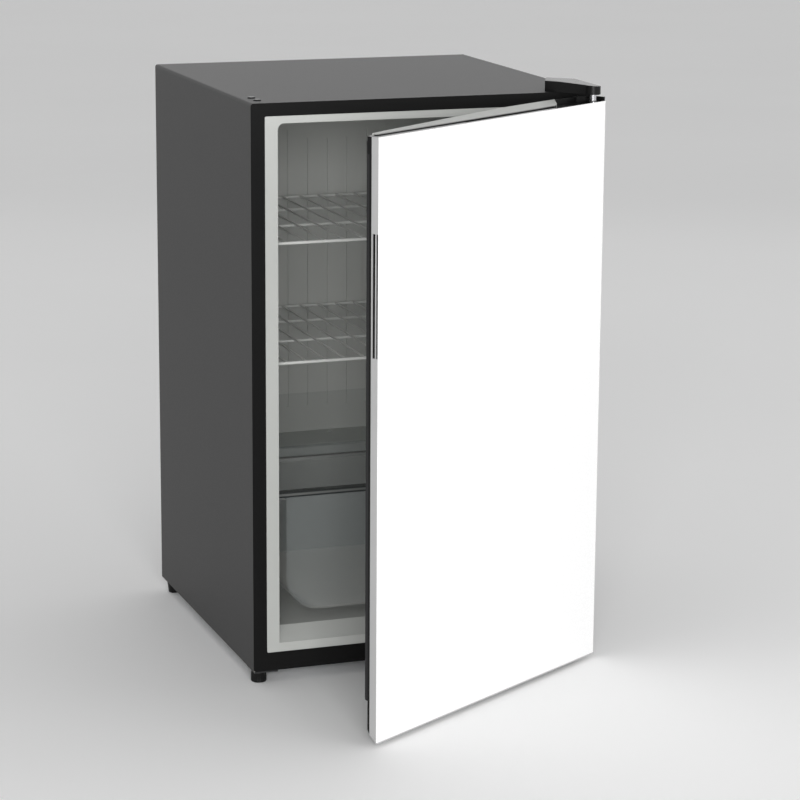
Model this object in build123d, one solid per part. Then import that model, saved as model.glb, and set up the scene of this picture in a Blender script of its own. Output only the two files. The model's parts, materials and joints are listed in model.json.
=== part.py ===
from build123d import *
import math
import os

os.makedirs("parts", exist_ok=True)

# A compact single-door refrigerator, all lengths in millimetres.
# X runs to the right as one faces the door, Y to the back, Z up from the floor.
# Everything is drawn with Y = 0 on the cabinet's front plane, and moved by FRONT_Y when it is
# written, so that the origin lies on the floor under the middle of the part as it is stored.

# ---------------------------------------------------------------- driving dimensions

WIDTH = 498.0
DEPTH = 495.0  # front plane to back panel
FOOT = 18.0  # height of the feet
BODY = 800.0  # cabinet height above the feet
SHEET = 0.8  # steel of the skin, base and back

HALF = WIDTH / 2
TOP = FOOT + BODY

# front frame and liner flange round the mouth
FRAME_SIDE = 19.5
FRAME_TOP = 18.0
FRAME_BOTTOM = 27.0
FRAME_PLATE = 1.2
FLANGE_SIDE = 18.0
FLANGE_TOP = 10.0
FLANGE_BOTTOM = 13.0
FLANGE = 1.0
FLANGE_CORNER = 2.0

# the cold space
CAVITY_X = HALF - FRAME_SIDE - FLANGE_SIDE
CAVITY_TOP = TOP - FRAME_TOP - FLANGE_TOP
SILL = FOOT + FRAME_BOTTOM + FLANGE_BOTTOM
FLOOR = 75.0
RAMP = 26.0  # depth of the slope from the sill up to the floor
BACK = 434.0
STEP_Y = 333.0  # front of the step over the compressor
STEP_Z = 250.0
CORNER = 9.0
LINER = 2.0
LINER_BACK = 4.5

# machine compartment at the bottom of the back
BAY_Y = 375.0
BAY_Z = 208.0

# shelves and crisper
UPPER_SHELF = 618.0
LOWER_SHELF = 449.0
GLASS_SHELF = 308.0
GLASS = 4.0
SHELF_FRONT = 43.0
SHELF_BACK = 429.0
SHELF_X = 209.0
RAIL = 2.25  # radius of a shelf's outer rail
WIRE = 1.4
WIRE_PITCH = 28.5
RIB_DEPTH = 6.0
RIB_HEIGHT = 4.0
REST = 0.25  # air left between a sliding piece and what carries it
CRISPER_X = 190.0
CRISPER_FRONT = 35.0
CRISPER_BACK = 320.0
CRISPER_LOW = 91.0
CRISPER_LEDGE = 255.0  # underside of the tub's side flanges
CRISPER_RIM = 258.0
CRISPER_TOP = 266.0
CRISPER_ROUND = 50.0
CRISPER_WALL = 2.5
RIM_X = SHELF_X
RIM_DEEP = 11.0

# the door, closed: DOOR_FRONT is its outer face and depths are measured back from there
DOOR = 42.0
SEAL = 5.0
DOOR_FRONT = -(SEAL + DOOR)
DOOR_LOW = 5.0
DOOR_HIGH = 808.4
PANEL = 1.5
TRIM = 12.5
CAP = 15.0
SHOULDER = 16.0
FRAME_BACK = 34.0
WALL = 8.0  # plastic of the door's edges
BEVEL = 24.0
LIP = 1.9
UNDERCUT = 25.0  # the door's bottom edge rises by this towards the cabinet
HINGE_IN = 14.0  # hinge axis in from the door's edge
HINGE_DEEP = 12.0  # hinge axis behind the door's face
HINGE_X = HALF - HINGE_IN
HINGE_Y = DOOR_FRONT + HINGE_DEEP
OPEN = 31.6  # degrees open as stored
PIN = 3.0
PIN_PLAY = 0.05

# condenser behind the back panel
CONDENSER_Y = DEPTH + 10.0
TUBE = 2.5
REAR = CONDENSER_Y + TUBE + 1.2

free_x = -2 * HALF + HINGE_IN
swing = math.radians(OPEN)
REACH = HINGE_Y + free_x * math.sin(swing) - HINGE_DEEP * math.cos(swing)
FRONT_Y = -(REACH + REAR) / 2


# ---------------------------------------------------------------- helpers


def block(x0, x1, y0, y1, z0, z1):
    """A box between two opposite corners."""
    size = Box(x1 - x0, y1 - y0, z1 - z0)
    return Pos((x0 + x1) / 2, (y0 + y1) / 2, (z0 + z1) / 2) * size


def rod(start, end, radius):
    """A straight round bar between two points."""
    along = Vector(*end) - Vector(*start)
    place = Plane(origin=start, z_dir=along)
    return place * Cylinder(radius, along.length, align=(Align.CENTER, Align.CENTER, Align.MIN))


def upright(x, y, z0, z1, radius):
    """A vertical round bar."""
    return rod((x, y, z0), (x, y, z1), radius)


def bent_tube(points, bend, radius):
    """A round tube along straight runs joined by bends."""
    path = FilletPolyline(*points, radius=bend)
    return sweep(Plane(origin=path @ 0, z_dir=path % 0) * Circle(radius), path=path)


def front_view(x0, x1, z0, z1, radius, y0, y1):
    """A rectangle with round corners, as seen from the front, carried from y0 to y1."""
    face = RectangleRounded(x1 - x0, z1 - z0, radius)
    place = Plane(origin=((x0 + x1) / 2, y1, (z0 + z1) / 2), x_dir=(1, 0, 0), z_dir=(0, -1, 0))
    return extrude(place * face, amount=y1 - y0)


def side_view(points, x0, x1):
    """A closed outline of (y, z) points carried across from x0 to x1."""
    face = make_face(Polyline(*[(x0, y, z) for y, z in points], close=True))
    return extrude(face, amount=x1 - x0, dir=(1, 0, 0))


def plan_view(points, z0, z1):
    """A closed outline of (x, y) points carried up from z0 to z1."""
    face = make_face(Polyline(*[(x, y, z0) for x, y in points], close=True))
    return extrude(face, amount=z1 - z0, dir=(0, 0, 1))


def merge(shapes):
    """One solid out of touching shapes."""
    first, *others = shapes
    return first + others


def cut(shape, *tools):
    """The shape less every tool."""
    for tool in tools:
        shape = shape - tool
    return shape


# ---------------------------------------------------------------- cabinet shell


def cavity(wall=0.0, back=0.0):
    """The cold space, grown outwards by the liner's wall."""
    front = -FLANGE - 1
    outline = [
        (front, SILL - wall),
        (0, SILL - wall),
        (RAMP, FLOOR - wall),
        (STEP_Y + wall, FLOOR - wall),
        (STEP_Y + wall, STEP_Z - wall),
        (BACK + back, STEP_Z - wall),
        (BACK + back, CAVITY_TOP + wall),
        (front, CAVITY_TOP + wall),
    ]
    side = CAVITY_X + wall
    across = side_view(outline, -side, side)
    mouth = front_view(-side, side, 0, CAVITY_TOP + wall, CORNER + wall, front, BACK + back)
    return across & mouth


def cabinet_wrap():
    """One sheet bent over both sides and the top."""
    outer = front_view(-HALF, HALF, FOOT - 20, TOP, 4, FRAME_PLATE, DEPTH)
    inner = front_view(-HALF + SHEET, HALF - SHEET, FOOT - 30, TOP - SHEET, 4 - SHEET, 0, DEPTH + 1)
    below = block(-HALF - 1, HALF + 1, 0, DEPTH + 1, FOOT - 40, FOOT)
    return cut(outer, inner, below)


def front_frame():
    """The flat black frame behind the liner's flange, with a short skirt inside the skin."""
    plate = front_view(-HALF, HALF, FOOT, TOP, 4, 0, FRAME_PLATE)
    window = block(-CAVITY_X - LINER, CAVITY_X + LINER, -1, 5, SILL - LINER, CAVITY_TOP + LINER)
    return plate - window


def liner_ribs():
    """Side ledges under the shelves and the crisper's rim, and the low rib across the floor."""
    tops = [UPPER_SHELF - RAIL - REST, LOWER_SHELF - RAIL - REST, GLASS_SHELF - REST, CRISPER_LEDGE - REST]
    ribs = []
    for top in tops:
        for side in (-1, 1):
            inner = side * (CAVITY_X - RIB_DEPTH)
            outer = side * (CAVITY_X + 1)
            ribs.append(block(min(inner, outer), max(inner, outer), 60, BACK + 1, top - RIB_HEIGHT, top))
    ribs.append(block(-CAVITY_X - 1, CAVITY_X + 1, 223, 231, FLOOR - 1, FLOOR + 5))
    return ribs


GROOVE_PITCH = 31.5
GROOVE_WIDTH = 6.0
GROOVE_DEPTH = 2.5
GROOVE_LOW = 290.0


def back_grooves():
    """Upright drip grooves pressed into the cold back wall, shorter in the middle."""
    grooves = []
    for n in range(-5, 6):
        top = 707 if abs(n) < 2 else 721
        groove = front_view(
            n * GROOVE_PITCH - GROOVE_WIDTH / 2, n * GROOVE_PITCH + GROOVE_WIDTH / 2,
            GROOVE_LOW, top, GROOVE_WIDTH / 2 - 0.05, BACK - 1, BACK + GROOVE_DEPTH,
        )
        grooves.append(groove)
    return grooves


DRAIN_Y = 415.0


def inner_liner():
    """The formed plastic inside of the cabinet."""
    shell = cavity(LINER, LINER_BACK) - cavity()
    shell = shell - block(-HALF, HALF, -FLANGE - 5, 0, 0, TOP)
    flange = front_view(
        -CAVITY_X - FLANGE_SIDE, CAVITY_X + FLANGE_SIDE,
        SILL - FLANGE_BOTTOM, CAVITY_TOP + FLANGE_TOP, FLANGE_CORNER, -FLANGE, 0,
    )
    flange = flange - cavity()
    liner = merge([shell, flange] + liner_ribs())
    return cut(liner, *back_grooves(), upright(0, DRAIN_Y, STEP_Z - 10, STEP_Z + 5, 5))


def bay_tubes():
    """Every tube that leaves the machine compartment through the base pan."""
    return [drain_tube_outer(), suction_tube(), capillary_tube()]


def base_pan():
    """The bottom sheet, bent up and back over the machine compartment."""
    outline = [
        (FRAME_PLATE, FOOT), (BAY_Y, FOOT), (BAY_Y, BAY_Z - SHEET), (DEPTH - SHEET, BAY_Z - SHEET),
        (DEPTH - SHEET, BAY_Z), (BAY_Y - SHEET, BAY_Z), (BAY_Y - SHEET, FOOT + SHEET),
        (FRAME_PLATE, FOOT + SHEET),
    ]
    pan = side_view(outline, -HALF + SHEET, HALF - SHEET)
    studs = [upright(s * FOOT_X, FOOT_Y, FOOT - 1, FOOT + 2, STUD + 0.3) for s in (-1, 1)]
    return cut(pan, *studs, *bay_tubes(), *bottom_screws())


def back_panel():
    """The flat sheet that closes the foam at the back."""
    panel = block(-HALF, HALF, DEPTH - SHEET, DEPTH, BAY_Z - SHEET, TOP)
    inside = front_view(-HALF + SHEET, HALF - SHEET, 0, TOP - SHEET, 4 - SHEET, 0, DEPTH + 1)
    return cut(panel & inside, *back_screws())


def cabinet_foam():
    """Rigid foam between the skin and the liner."""
    foam = block(-HALF + SHEET, HALF - SHEET, FRAME_PLATE, DEPTH - SHEET, FOOT + SHEET, TOP - SHEET)
    corners = front_view(-HALF + SHEET, HALF - SHEET, FOOT - 20, TOP - SHEET, 4 - SHEET, 0, DEPTH)
    bay = block(-HALF, HALF, BAY_Y - SHEET, DEPTH + 1, 0, BAY_Z)
    foam = (foam & corners) - bay - cavity(LINER, LINER_BACK)
    holes = [upright(s * FOOT_X, FOOT_Y, FOOT, STUD_TOP + 2, STUD + 0.5) for s in (-1, 1)]
    holes += [evaporator_plate(), evaporator_tube()] + bay_tubes() + bottom_screws() + back_screws()
    holes += top_screws() + hole_plugs()
    return cut(foam, *holes)


# ---------------------------------------------------------------- feet

FOOT_X = HALF - 11.5
FOOT_Y = 15.0
FOOT_PAD = 15.0
PAD_RADIUS = 11.0
STUD = 4.0
STUD_TOP = 38.0


def front_foot(side):
    """A levelling foot: a round pad on a threaded stud."""
    pad = upright(side * FOOT_X, FOOT_Y, 0, FOOT_PAD, PAD_RADIUS)
    pad = chamfer(pad.edges().group_by(Axis.Z)[0], 0.8)
    pad = fillet(pad.edges().group_by(Axis.Z)[-1], 1.5)
    stud = upright(side * FOOT_X, FOOT_Y, FOOT_PAD - 1, STUD_TOP, STUD)
    return pad + stud


def foot_plate():
    """The small steel plate that the left front foot screws through."""
    plate = block(-HALF + 2, -HALF + 36, 2, 42, FOOT_PAD, FOOT)
    return plate - upright(-FOOT_X, FOOT_Y, 0, FOOT + 1, STUD + PIN_PLAY)


REAR_FOOT_X = HALF - 12.0
REAR_FOOT_Y = 467.0


def rear_feet():
    """Two moulded feet under the compressor rail."""
    feet = []
    for side in (-1, 1):
        place = Pos(side * REAR_FOOT_X, REAR_FOOT_Y, FOOT / 2)
        foot = place * Cone(8.5, 11, FOOT)
        feet.append(chamfer(foot.edges().group_by(Axis.Z)[0], 0.8))
    return feet


# ---------------------------------------------------------------- cold wall and machine compartment

EVAPORATOR_Y = BACK + LINER_BACK
COIL = 4.0


def evaporator_plate():
    """The aluminium plate behind the liner's back wall."""
    return block(-185, 185, EVAPORATOR_Y, EVAPORATOR_Y + 1.5, 300, 745)


def serpentine(x, low, high, y, runs):
    """Corner points of a tube that goes to and fro across, from the top down."""
    points = []
    for n in range(runs):
        z = high - (high - low) * n / (runs - 1)
        ends = (x, -x) if n % 2 == 0 else (-x, x)
        points += [(ends[0], y, z), (ends[1], y, z)]
    return points


def evaporator_tube():
    """The coil bonded to the back of the plate."""
    y = EVAPORATOR_Y + 1.5 + COIL
    return bent_tube(serpentine(160, 320, 730, y, 8), 24, COIL)


def drain_tube_outer():
    """The drain tube without its bore."""
    return upright(0, DRAIN_Y, 184, STEP_Z - LINER, 7)


def drain_tube():
    """Melt water runs down this from the liner's step to the tray."""
    return drain_tube_outer() - upright(0, DRAIN_Y, 180, STEP_Z, 5)


MACHINE_Y = 434.0
RAIL_TOP = FOOT + 2.0
COMPRESSOR_FOOT = 30.0


def compressor_rail():
    """The plate across the bottom of the compartment that carries the compressor."""
    plate = block(-HALF + SHEET, HALF - SHEET, BAY_Y + 8, DEPTH - 6, FOOT, RAIL_TOP)
    lip = block(-HALF + SHEET, HALF - SHEET, DEPTH - 8, DEPTH - 6, FOOT, RAIL_TOP + 12)
    return cut(plate + lip, *[upright(x, y, 0, 40, 3) for x, y in mount_spots()])


def mount_spots():
    """Where the compressor stands on its four rubber mounts."""
    return [(x, MACHINE_Y + y) for x in (-66, 66) for y in (-30, 30)]


def compressor_grommets():
    """Rubber mounts, each a ring round its bolt."""
    rings = []
    for x, y in mount_spots():
        ring = upright(x, y, RAIL_TOP, COMPRESSOR_FOOT, 9)
        bore = upright(x, y, RAIL_TOP - 1, COMPRESSOR_FOOT + 1, 3)
        rings.append(ring - bore)
    return rings


def compressor_bolts():
    """Bolts up through the rail and the mounts."""
    bolts = []
    for x, y in mount_spots():
        head = upright(x, y, FOOT - 3.0, FOOT, 5)
        bolts.append(head + upright(x, y, FOOT - 1, COMPRESSOR_FOOT + 8, 3))
    return bolts


def compressor():
    """The sealed compressor: a domed steel can on a base plate."""
    outline = [
        (0, COMPRESSOR_FOOT + 2), (36, COMPRESSOR_FOOT + 2), (47, 42), (52, 60), (52, 116),
        (47, 134), (34, 146), (14, 152), (0, 153),
    ]
    face = make_face(Polyline(*[(r, 0, z) for r, z in outline], close=True))
    can = revolve(face, axis=Axis.Z)
    seam = upright(0, 0, 86, 90, 54)
    base = block(-80, 80, -42, 42, COMPRESSOR_FOOT, COMPRESSOR_FOOT + 2.5)
    base = fillet(base.edges().filter_by(Axis.Z), 10)
    body = Pos(0, MACHINE_Y, 0) * (can + seam + base)
    return cut(body, *[upright(x, y, 20, 50, 3) for x, y in mount_spots()])


def terminal_box():
    """The cover over the compressor's terminals and relay."""
    box = block(-96, -48, MACHINE_Y - 24, MACHINE_Y + 24, 54, 112)
    box = fillet(box.edges().filter_by(Axis.X), 4)
    gland = rod((-80, MACHINE_Y + 10, 70), (-80, MACHINE_Y + 40, 70), 6)
    can = Pos(0, MACHINE_Y, 0) * (upright(0, 0, 30, 150, 52) + upright(0, 0, 86, 90, 54))
    return cut(box, can, gland)


def cord_gland():
    """The empty inlet for the mains lead."""
    sleeve = rod((-80, MACHINE_Y + 10, 70), (-80, MACHINE_Y + 27, 70), 6)
    collar = rod((-80, MACHINE_Y + 24, 70), (-80, MACHINE_Y + 27, 70), 8)
    bore = rod((-80, MACHINE_Y + 8, 70), (-80, MACHINE_Y + 30, 70), 3.5)
    return sleeve + collar - bore


def evaporating_tray():
    """An open tray on the compressor, where the melt water dries away."""
    tray = block(-44, 44, MACHINE_Y - 36, MACHINE_Y + 36, 153, 180)
    tray = fillet(tray.edges().filter_by(Axis.Z), 8)
    hollow = block(-42, 42, MACHINE_Y - 34, MACHINE_Y + 34, 155, 190)
    return tray - fillet(hollow.edges().filter_by(Axis.Z), 6)


TUBE_X = 212.0
DRIER_X = -205.0
DRIER_Y = 470.0
CONDENSER_LOW = 240.0
CONDENSER_HIGH = 770.0


def discharge_tube():
    """Hot gas from the compressor out to the top of the condenser."""
    points = [
        (48, MACHINE_Y, 126), (150, MACHINE_Y, 126), (150, CONDENSER_Y, 126),
        (TUBE_X, CONDENSER_Y, 126), (TUBE_X, CONDENSER_Y, CONDENSER_HIGH), (195, CONDENSER_Y, CONDENSER_HIGH),
    ]
    can = Pos(0, MACHINE_Y, 0) * upright(0, 0, 30, 134, 52)
    return bent_tube(points, 10, TUBE) - can


def condenser():
    """The serpentine tube with the upright wires welded across its runs."""
    points = serpentine(185, CONDENSER_LOW, CONDENSER_HIGH, CONDENSER_Y, 11)
    points = [(195, CONDENSER_Y, CONDENSER_HIGH)] + points[1:]
    tube = bent_tube(points, 20, TUBE)
    wires = []
    for n in range(-8, 9):
        x = n * 18.0
        wires.append(upright(x, CONDENSER_Y + TUBE + 0.2, 225, 785, 1.0))
    return merge([tube] + wires)


def condenser_brackets():
    """Plastic clips that hold the condenser off the back panel."""
    clips = []
    for x in (-150, 150):
        for z in (293, 717):
            foot = block(x - 12, x + 12, DEPTH, DEPTH + 2, z - 14, z + 14)
            post = block(x - 4, x + 4, DEPTH + 1, CONDENSER_Y + TUBE + 1, z - 7, z + 7)
            clips.append(cut(foot + post, rod((x - 9, CONDENSER_Y, z), (x + 9, CONDENSER_Y, z), TUBE)))
    return clips


def filter_drier():
    """The drier between the condenser and the capillary."""
    can = upright(DRIER_X, DRIER_Y, 90, 160, 8)
    can = fillet(can.edges(), 3)
    inlet = upright(DRIER_X, DRIER_Y, 158, 176, TUBE)
    outlet = upright(DRIER_X, DRIER_Y, 80, 92, 1.5)
    return can + inlet + outlet


def liquid_tube():
    """From the bottom of the condenser in to the drier."""
    points = [
        (DRIER_X, DRIER_Y, 176), (DRIER_X, DRIER_Y, 196),
        (DRIER_X, CONDENSER_Y, 196), (DRIER_X, CONDENSER_Y, CONDENSER_LOW),
    ]
    return bent_tube(points, 9, TUBE)


def capillary_tube():
    """The fine tube from the drier up to the evaporator."""
    points = [(DRIER_X, DRIER_Y, 80), (DRIER_X, DRIER_Y, 62), (-170, DRIER_Y, 62), (-170, DRIER_Y, 236)]
    return bent_tube(points, 8, 1.5)


def suction_tube():
    """Cold gas back down to the compressor."""
    points = [(-60, 460, 236), (-60, 460, 120), (-30, 460, 120)]
    can = Pos(0, MACHINE_Y, 0) * upright(0, 0, 30, 134, 52)
    return bent_tube(points, 10, 3.5) - can


# ---------------------------------------------------------------- small parts on the cabinet

PLUG_X = -230.0
PLUG_SPOTS = (32.0, 60.0)


def hole_plugs():
    """Snap-in plugs over the spare hinge holes."""
    plugs = []
    for y in PLUG_SPOTS:
        head = upright(PLUG_X, y, TOP, TOP + 1.6, 5.5)
        head = fillet(head.edges().group_by(Axis.Z)[-1], 1.2)
        plugs.append(head + upright(PLUG_X, y, TOP - 9, TOP + 0.5, 3))
    return plugs


def screw(x, y, z, reach, radius=2.1, head=4.2, tall=2.2):
    """An upright pan-head screw: z is under its head, reach is signed along its shank."""
    away = -math.copysign(1, reach)
    cap = rod((x, y, z), (x, y, z + away * tall), head)
    return cap + rod((x, y, z + away * 0.5), (x, y, z + reach), radius)


def back_screws():
    """Screws along the back panel's sides."""
    screws = []
    for x in (-236, 236):
        for z in (230, 420, 610, 800):
            head = rod((x, DEPTH, z), (x, DEPTH + 2, z), 4)
            screws.append(head + rod((x, DEPTH - 10, z), (x, DEPTH + 0.5, z), 1.9))
    return screws


BRACKET = 3.0
TOP_SCREWS = ((212.0, 14.0), (235.0, 28.0), (214.0, 38.0))
BOTTOM_SCREWS = ((218.0, 12.0), (218.0, 44.0), (240.0, 44.0))


def top_screws():
    """Screws that hold the top hinge bracket."""
    return [screw(x, y, TOP + BRACKET, -16) for x, y in TOP_SCREWS]


def bottom_screws():
    """Screws that hold the bottom hinge bracket, from below."""
    return [screw(x, y, FOOT - BRACKET, 16) for x, y in BOTTOM_SCREWS]


def hinge_tip(radius, z0, z1):
    """The round end of a bracket, on the hinge axis."""
    return upright(HINGE_X, HINGE_Y, z0, z1, radius)


COVER_LEFT = 183.0
COVER_FRONT = 14.0  # front of the left end
COVER_BACK = 52.0
COVER_ARM = 10.0  # half the width of the arm over the hinge axis
COVER_KNUCKLE = 10.5
COVER_HIGH = 833.0
COVER_LOW = 829.0
COVER_WALL = 2.0
COVER_SLANT = 18.0  # the left end leans back to the right by this much


def cover_outline(inset):
    """Plan of the hinge cover: its front runs slanting from the cabinet's top out to the hinge axis."""
    left = COVER_LEFT + inset
    right = HINGE_X + COVER_ARM - inset
    back = COVER_BACK - inset
    arm = HINGE_X - COVER_ARM + inset
    return [
        (left + COVER_SLANT, back), (right, back), (right, HINGE_Y), (arm, HINGE_Y),
        (left, COVER_FRONT + 1.5 * inset),
    ]


def cover_solid(inset, low):
    """The cover's bulk, drawn in by an inset: its top falls to the right."""
    plan = plan_view(cover_outline(inset), low, COVER_HIGH)
    plan = plan + hinge_tip(COVER_KNUCKLE - inset, low, COVER_HIGH)
    outline = [
        (COVER_LEFT - 1, low), (HALF, low), (HALF, COVER_LOW - inset),
        (COVER_LEFT + 15, COVER_HIGH - inset), (COVER_LEFT - 1, COVER_HIGH - inset),
    ]
    face = make_face(Polyline(*[(x, HINGE_Y - 20, z) for x, z in outline], close=True))
    return plan & extrude(face, amount=COVER_BACK - HINGE_Y + 30, dir=(0, 1, 0))


def top_hinge_bracket():
    """The steel plate on the cabinet's top that reaches out over the door."""
    inset = COVER_WALL + 1
    plate = plan_view(cover_outline(inset), TOP, TOP + BRACKET)
    plate = plate + hinge_tip(COVER_KNUCKLE - inset, TOP, TOP + BRACKET)
    pin_hole = hinge_tip(PIN, TOP - 1, TOP + BRACKET + 1)
    return cut(plate, pin_hole, *top_screws())


def top_hinge_pin():
    """The pin down into the door, with a shoulder that the bracket sits on."""
    pin = hinge_tip(PIN, DOOR_HIGH - 16, TOP + BRACKET + 1.5)
    return pin + hinge_tip(5, DOOR_HIGH + 1.0, TOP)


def hinge_cover():
    """The moulded cover over the bracket, open below."""
    return cover_solid(0, TOP) - cover_solid(COVER_WALL, TOP - 1)


def bottom_hinge_bracket():
    """The plate under the cabinet's front corner; the right front foot screws through it."""
    rear = block(206, HALF - 2, 2, 56, FOOT - BRACKET, FOOT)
    arm = block(HINGE_X - 22, HINGE_X, HINGE_Y, 3, FOOT - BRACKET, FOOT)
    tip = hinge_tip(6, FOOT - BRACKET, FOOT)
    corner = upright(HINGE_X - 22, HINGE_Y, FOOT - BRACKET - 1, FOOT + 1, 12)
    hole = upright(FOOT_X, FOOT_Y, 0, FOOT + 1, STUD + PIN_PLAY)
    arm = arm - corner
    pin_hole = hinge_tip(PIN, FOOT - BRACKET - 1, FOOT + 1)
    return cut(rear + arm + tip, hole, pin_hole, *bottom_screws())


def bottom_hinge_pin():
    """The pin up into the door's lower bush."""
    return hinge_tip(PIN, FOOT - BRACKET, 34)


# ---------------------------------------------------------------- inside the cabinet


def wire_shelf(z):
    """A welded wire shelf: outer rails, cross wires below and closer wires from front to back."""
    x = SHELF_X - RAIL
    wires = [shelf_loop(x, z)]
    for n in range(-7, 7):
        at = (n + 0.5) * WIRE_PITCH
        wires.append(rod((at, SHELF_FRONT, z), (at, SHELF_BACK, z), WIRE))
    reach = CAVITY_X - RIB_DEPTH - 0.2
    for y in (195, 330):
        wires.append(rod((-reach, y, z - WIRE - 0.9), (reach, y, z - WIRE - 0.9), 1.8))
    return merge(wires)


def shelf_loop(x, z):
    """The closed outer rail of a wire shelf."""
    path = Pos(0, (SHELF_FRONT + SHELF_BACK) / 2, z) * Wire(
        RectangleRounded(2 * x, SHELF_BACK - SHELF_FRONT, 10).wire().edges()
    )
    section = Plane(origin=path @ 0, z_dir=path % 0) * Circle(RAIL)
    return sweep(section, path=path)


def glass_shelf():
    """The plate of glass over the crisper."""
    return block(-SHELF_X, SHELF_X, SHELF_FRONT + 3, SHELF_BACK, GLASS_SHELF, GLASS_SHELF + GLASS)


def glass_shelf_trim():
    """The moulded edge along the front of the glass."""
    top = GLASS_SHELF + GLASS + 0.6
    strip = block(-SHELF_X, SHELF_X, SHELF_FRONT - 1, SHELF_FRONT + 9, GLASS_SHELF, top)
    return strip - glass_shelf()


def crisper_section(inset, z0, z1):
    """The drawer's outline from the front, round at its lower corners."""
    return front_view(
        -CRISPER_X + inset, CRISPER_X - inset, z0, z1 + 2 * CRISPER_ROUND, CRISPER_ROUND - inset,
        CRISPER_FRONT + inset, CRISPER_BACK - inset,
    ) & block(-HALF, HALF, 0, DEPTH, z0, z1)


def crisper_tub():
    """The clear drawer, hung by flanges along its sides."""
    outer = crisper_section(0, CRISPER_LOW, CRISPER_RIM)
    inner = crisper_section(CRISPER_WALL, CRISPER_LOW + CRISPER_WALL, CRISPER_RIM + 5)
    flange = block(-RIM_X, RIM_X, CRISPER_FRONT, CRISPER_BACK, CRISPER_LEDGE, CRISPER_RIM)
    return (outer + flange) - inner


def crisper_rim():
    """The dark bar along the drawer's front edge, with a groove for the strip."""
    bar = block(-RIM_X, RIM_X, CRISPER_FRONT - 1.5, CRISPER_FRONT + RIM_DEEP, CRISPER_RIM, CRISPER_TOP)
    return fillet(bar.edges().filter_by(Axis.Z), 3) - crisper_strip()


def crisper_strip():
    """The light strip let into the front of the rim."""
    x = RIM_X - 6
    middle = (CRISPER_RIM + CRISPER_TOP) / 2
    return block(-x, x, CRISPER_FRONT - 1.5, CRISPER_FRONT, middle - 1.5, middle + 1.5)


KNOB_Y = 245.0
KNOB_Z = 700.0
HOUSING_X = CAVITY_X - 26


def thermostat_housing():
    """The control box on the right wall."""
    box = block(HOUSING_X, CAVITY_X, KNOB_Y - 45, KNOB_Y + 45, KNOB_Z - 38, KNOB_Z + 38)
    box = fillet(box.edges().filter_by(Axis.X), 8)
    box = chamfer(box.faces().sort_by(Axis.X)[0].edges(), 1.5)
    return box - rod((HOUSING_X - 1, KNOB_Y, KNOB_Z), (HOUSING_X + 9, KNOB_Y, KNOB_Z), 3.05)


def thermostat_knob():
    """The temperature knob with a grip across it and a spindle behind."""
    disc = rod((HOUSING_X - 3, KNOB_Y, KNOB_Z), (HOUSING_X - 0.4, KNOB_Y, KNOB_Z), 17)
    disc = fillet(disc.edges().sort_by(Axis.X)[0], 1)
    grip = block(HOUSING_X - 13, HOUSING_X - 2, KNOB_Y - 3.5, KNOB_Y + 3.5, KNOB_Z - 15, KNOB_Z + 15)
    grip = fillet(grip.edges().filter_by(Axis.X), 2)
    return disc + grip + rod((HOUSING_X - 2, KNOB_Y, KNOB_Z), (HOUSING_X + 8, KNOB_Y, KNOB_Z), 3)


# ---------------------------------------------------------------- the door, drawn closed


def depth(d):
    """Y of a depth behind the door's outer face."""
    return DOOR_FRONT + d


def door_solid(inset, front, back, top=DOOR_HIGH):
    """The door's edge shape between two depths, drawn in by an inset."""
    side = HALF - inset
    waist = HALF - BEVEL - inset
    plan = [
        (-side, depth(0)), (side, depth(0)), (side, depth(SHOULDER)), (waist, depth(FRAME_BACK)),
        (-waist, depth(FRAME_BACK)), (-side, depth(SHOULDER)),
    ]
    foot = DOOR_LOW + inset
    profile = [
        (depth(0), foot), (depth(TRIM), foot + 11), (depth(20), foot + UNDERCUT),
        (depth(FRAME_BACK), foot + UNDERCUT), (depth(FRAME_BACK), top - inset), (depth(0), top - inset),
    ]
    whole = plan_view(plan, 0, TOP) & side_view(profile, -side, side)
    return whole & block(-HALF, HALF, depth(front), depth(back), 0, TOP)


LOWER_CAP = 22.0
UPPER_CAP = 798.0


def bottom_recess():
    """Room for the bottom bracket under the hinge corner of the door."""
    return block(HINGE_X - 26, HALF + 1, depth(3.5), depth(60), 0, FOOT + 1)


BUSH = 17.0
BUSH_RADIUS = 5.5


def bush(z0, z1):
    """Outside of a hinge bush."""
    return hinge_tip(BUSH_RADIUS, z0, z1)


def door_front_panel():
    """The white face of the door."""
    panel = block(-HALF, HALF, depth(0), depth(PANEL), DOOR_LOW + LIP, DOOR_HIGH)
    front = panel.faces().sort_by(Axis.Y)[0]
    return chamfer(front.edges().filter_by(Axis.Z), 0.6)


def door_bottom_cap():
    """The moulding along the bottom edge, with the lip under the face."""
    cap = door_solid(0, 0, TRIM) & block(-HALF, HALF, depth(0), depth(TRIM), 0, LOWER_CAP)
    panel = block(-HALF - 1, HALF + 1, depth(-1), depth(PANEL), DOOR_LOW + LIP, DOOR_HIGH)
    return cut(cap, panel, bottom_recess(), bush(FOOT + 1, FOOT + 1 + BUSH))


POCKET_LOW = 524.0
POCKET_HIGH = 685.0
POCKET_BACK = 11.0
POCKET_DEEP = 15.0
POCKET_END = 4.0  # plastic beyond the slots at either end
SLOTS = ((PANEL + 0.1, 4.6), (6.1, 10.6))  # depths of the two finger slots
POCKET_SKIN = 1.5


def finger_slots(x0, x1):
    """The two upright slots of the handle, cut between two places across the door."""
    slots = []
    for near, far in SLOTS:
        slots.append(block(x0, x1, depth(near), depth(far), POCKET_LOW, POCKET_HIGH))
    return slots


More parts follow.
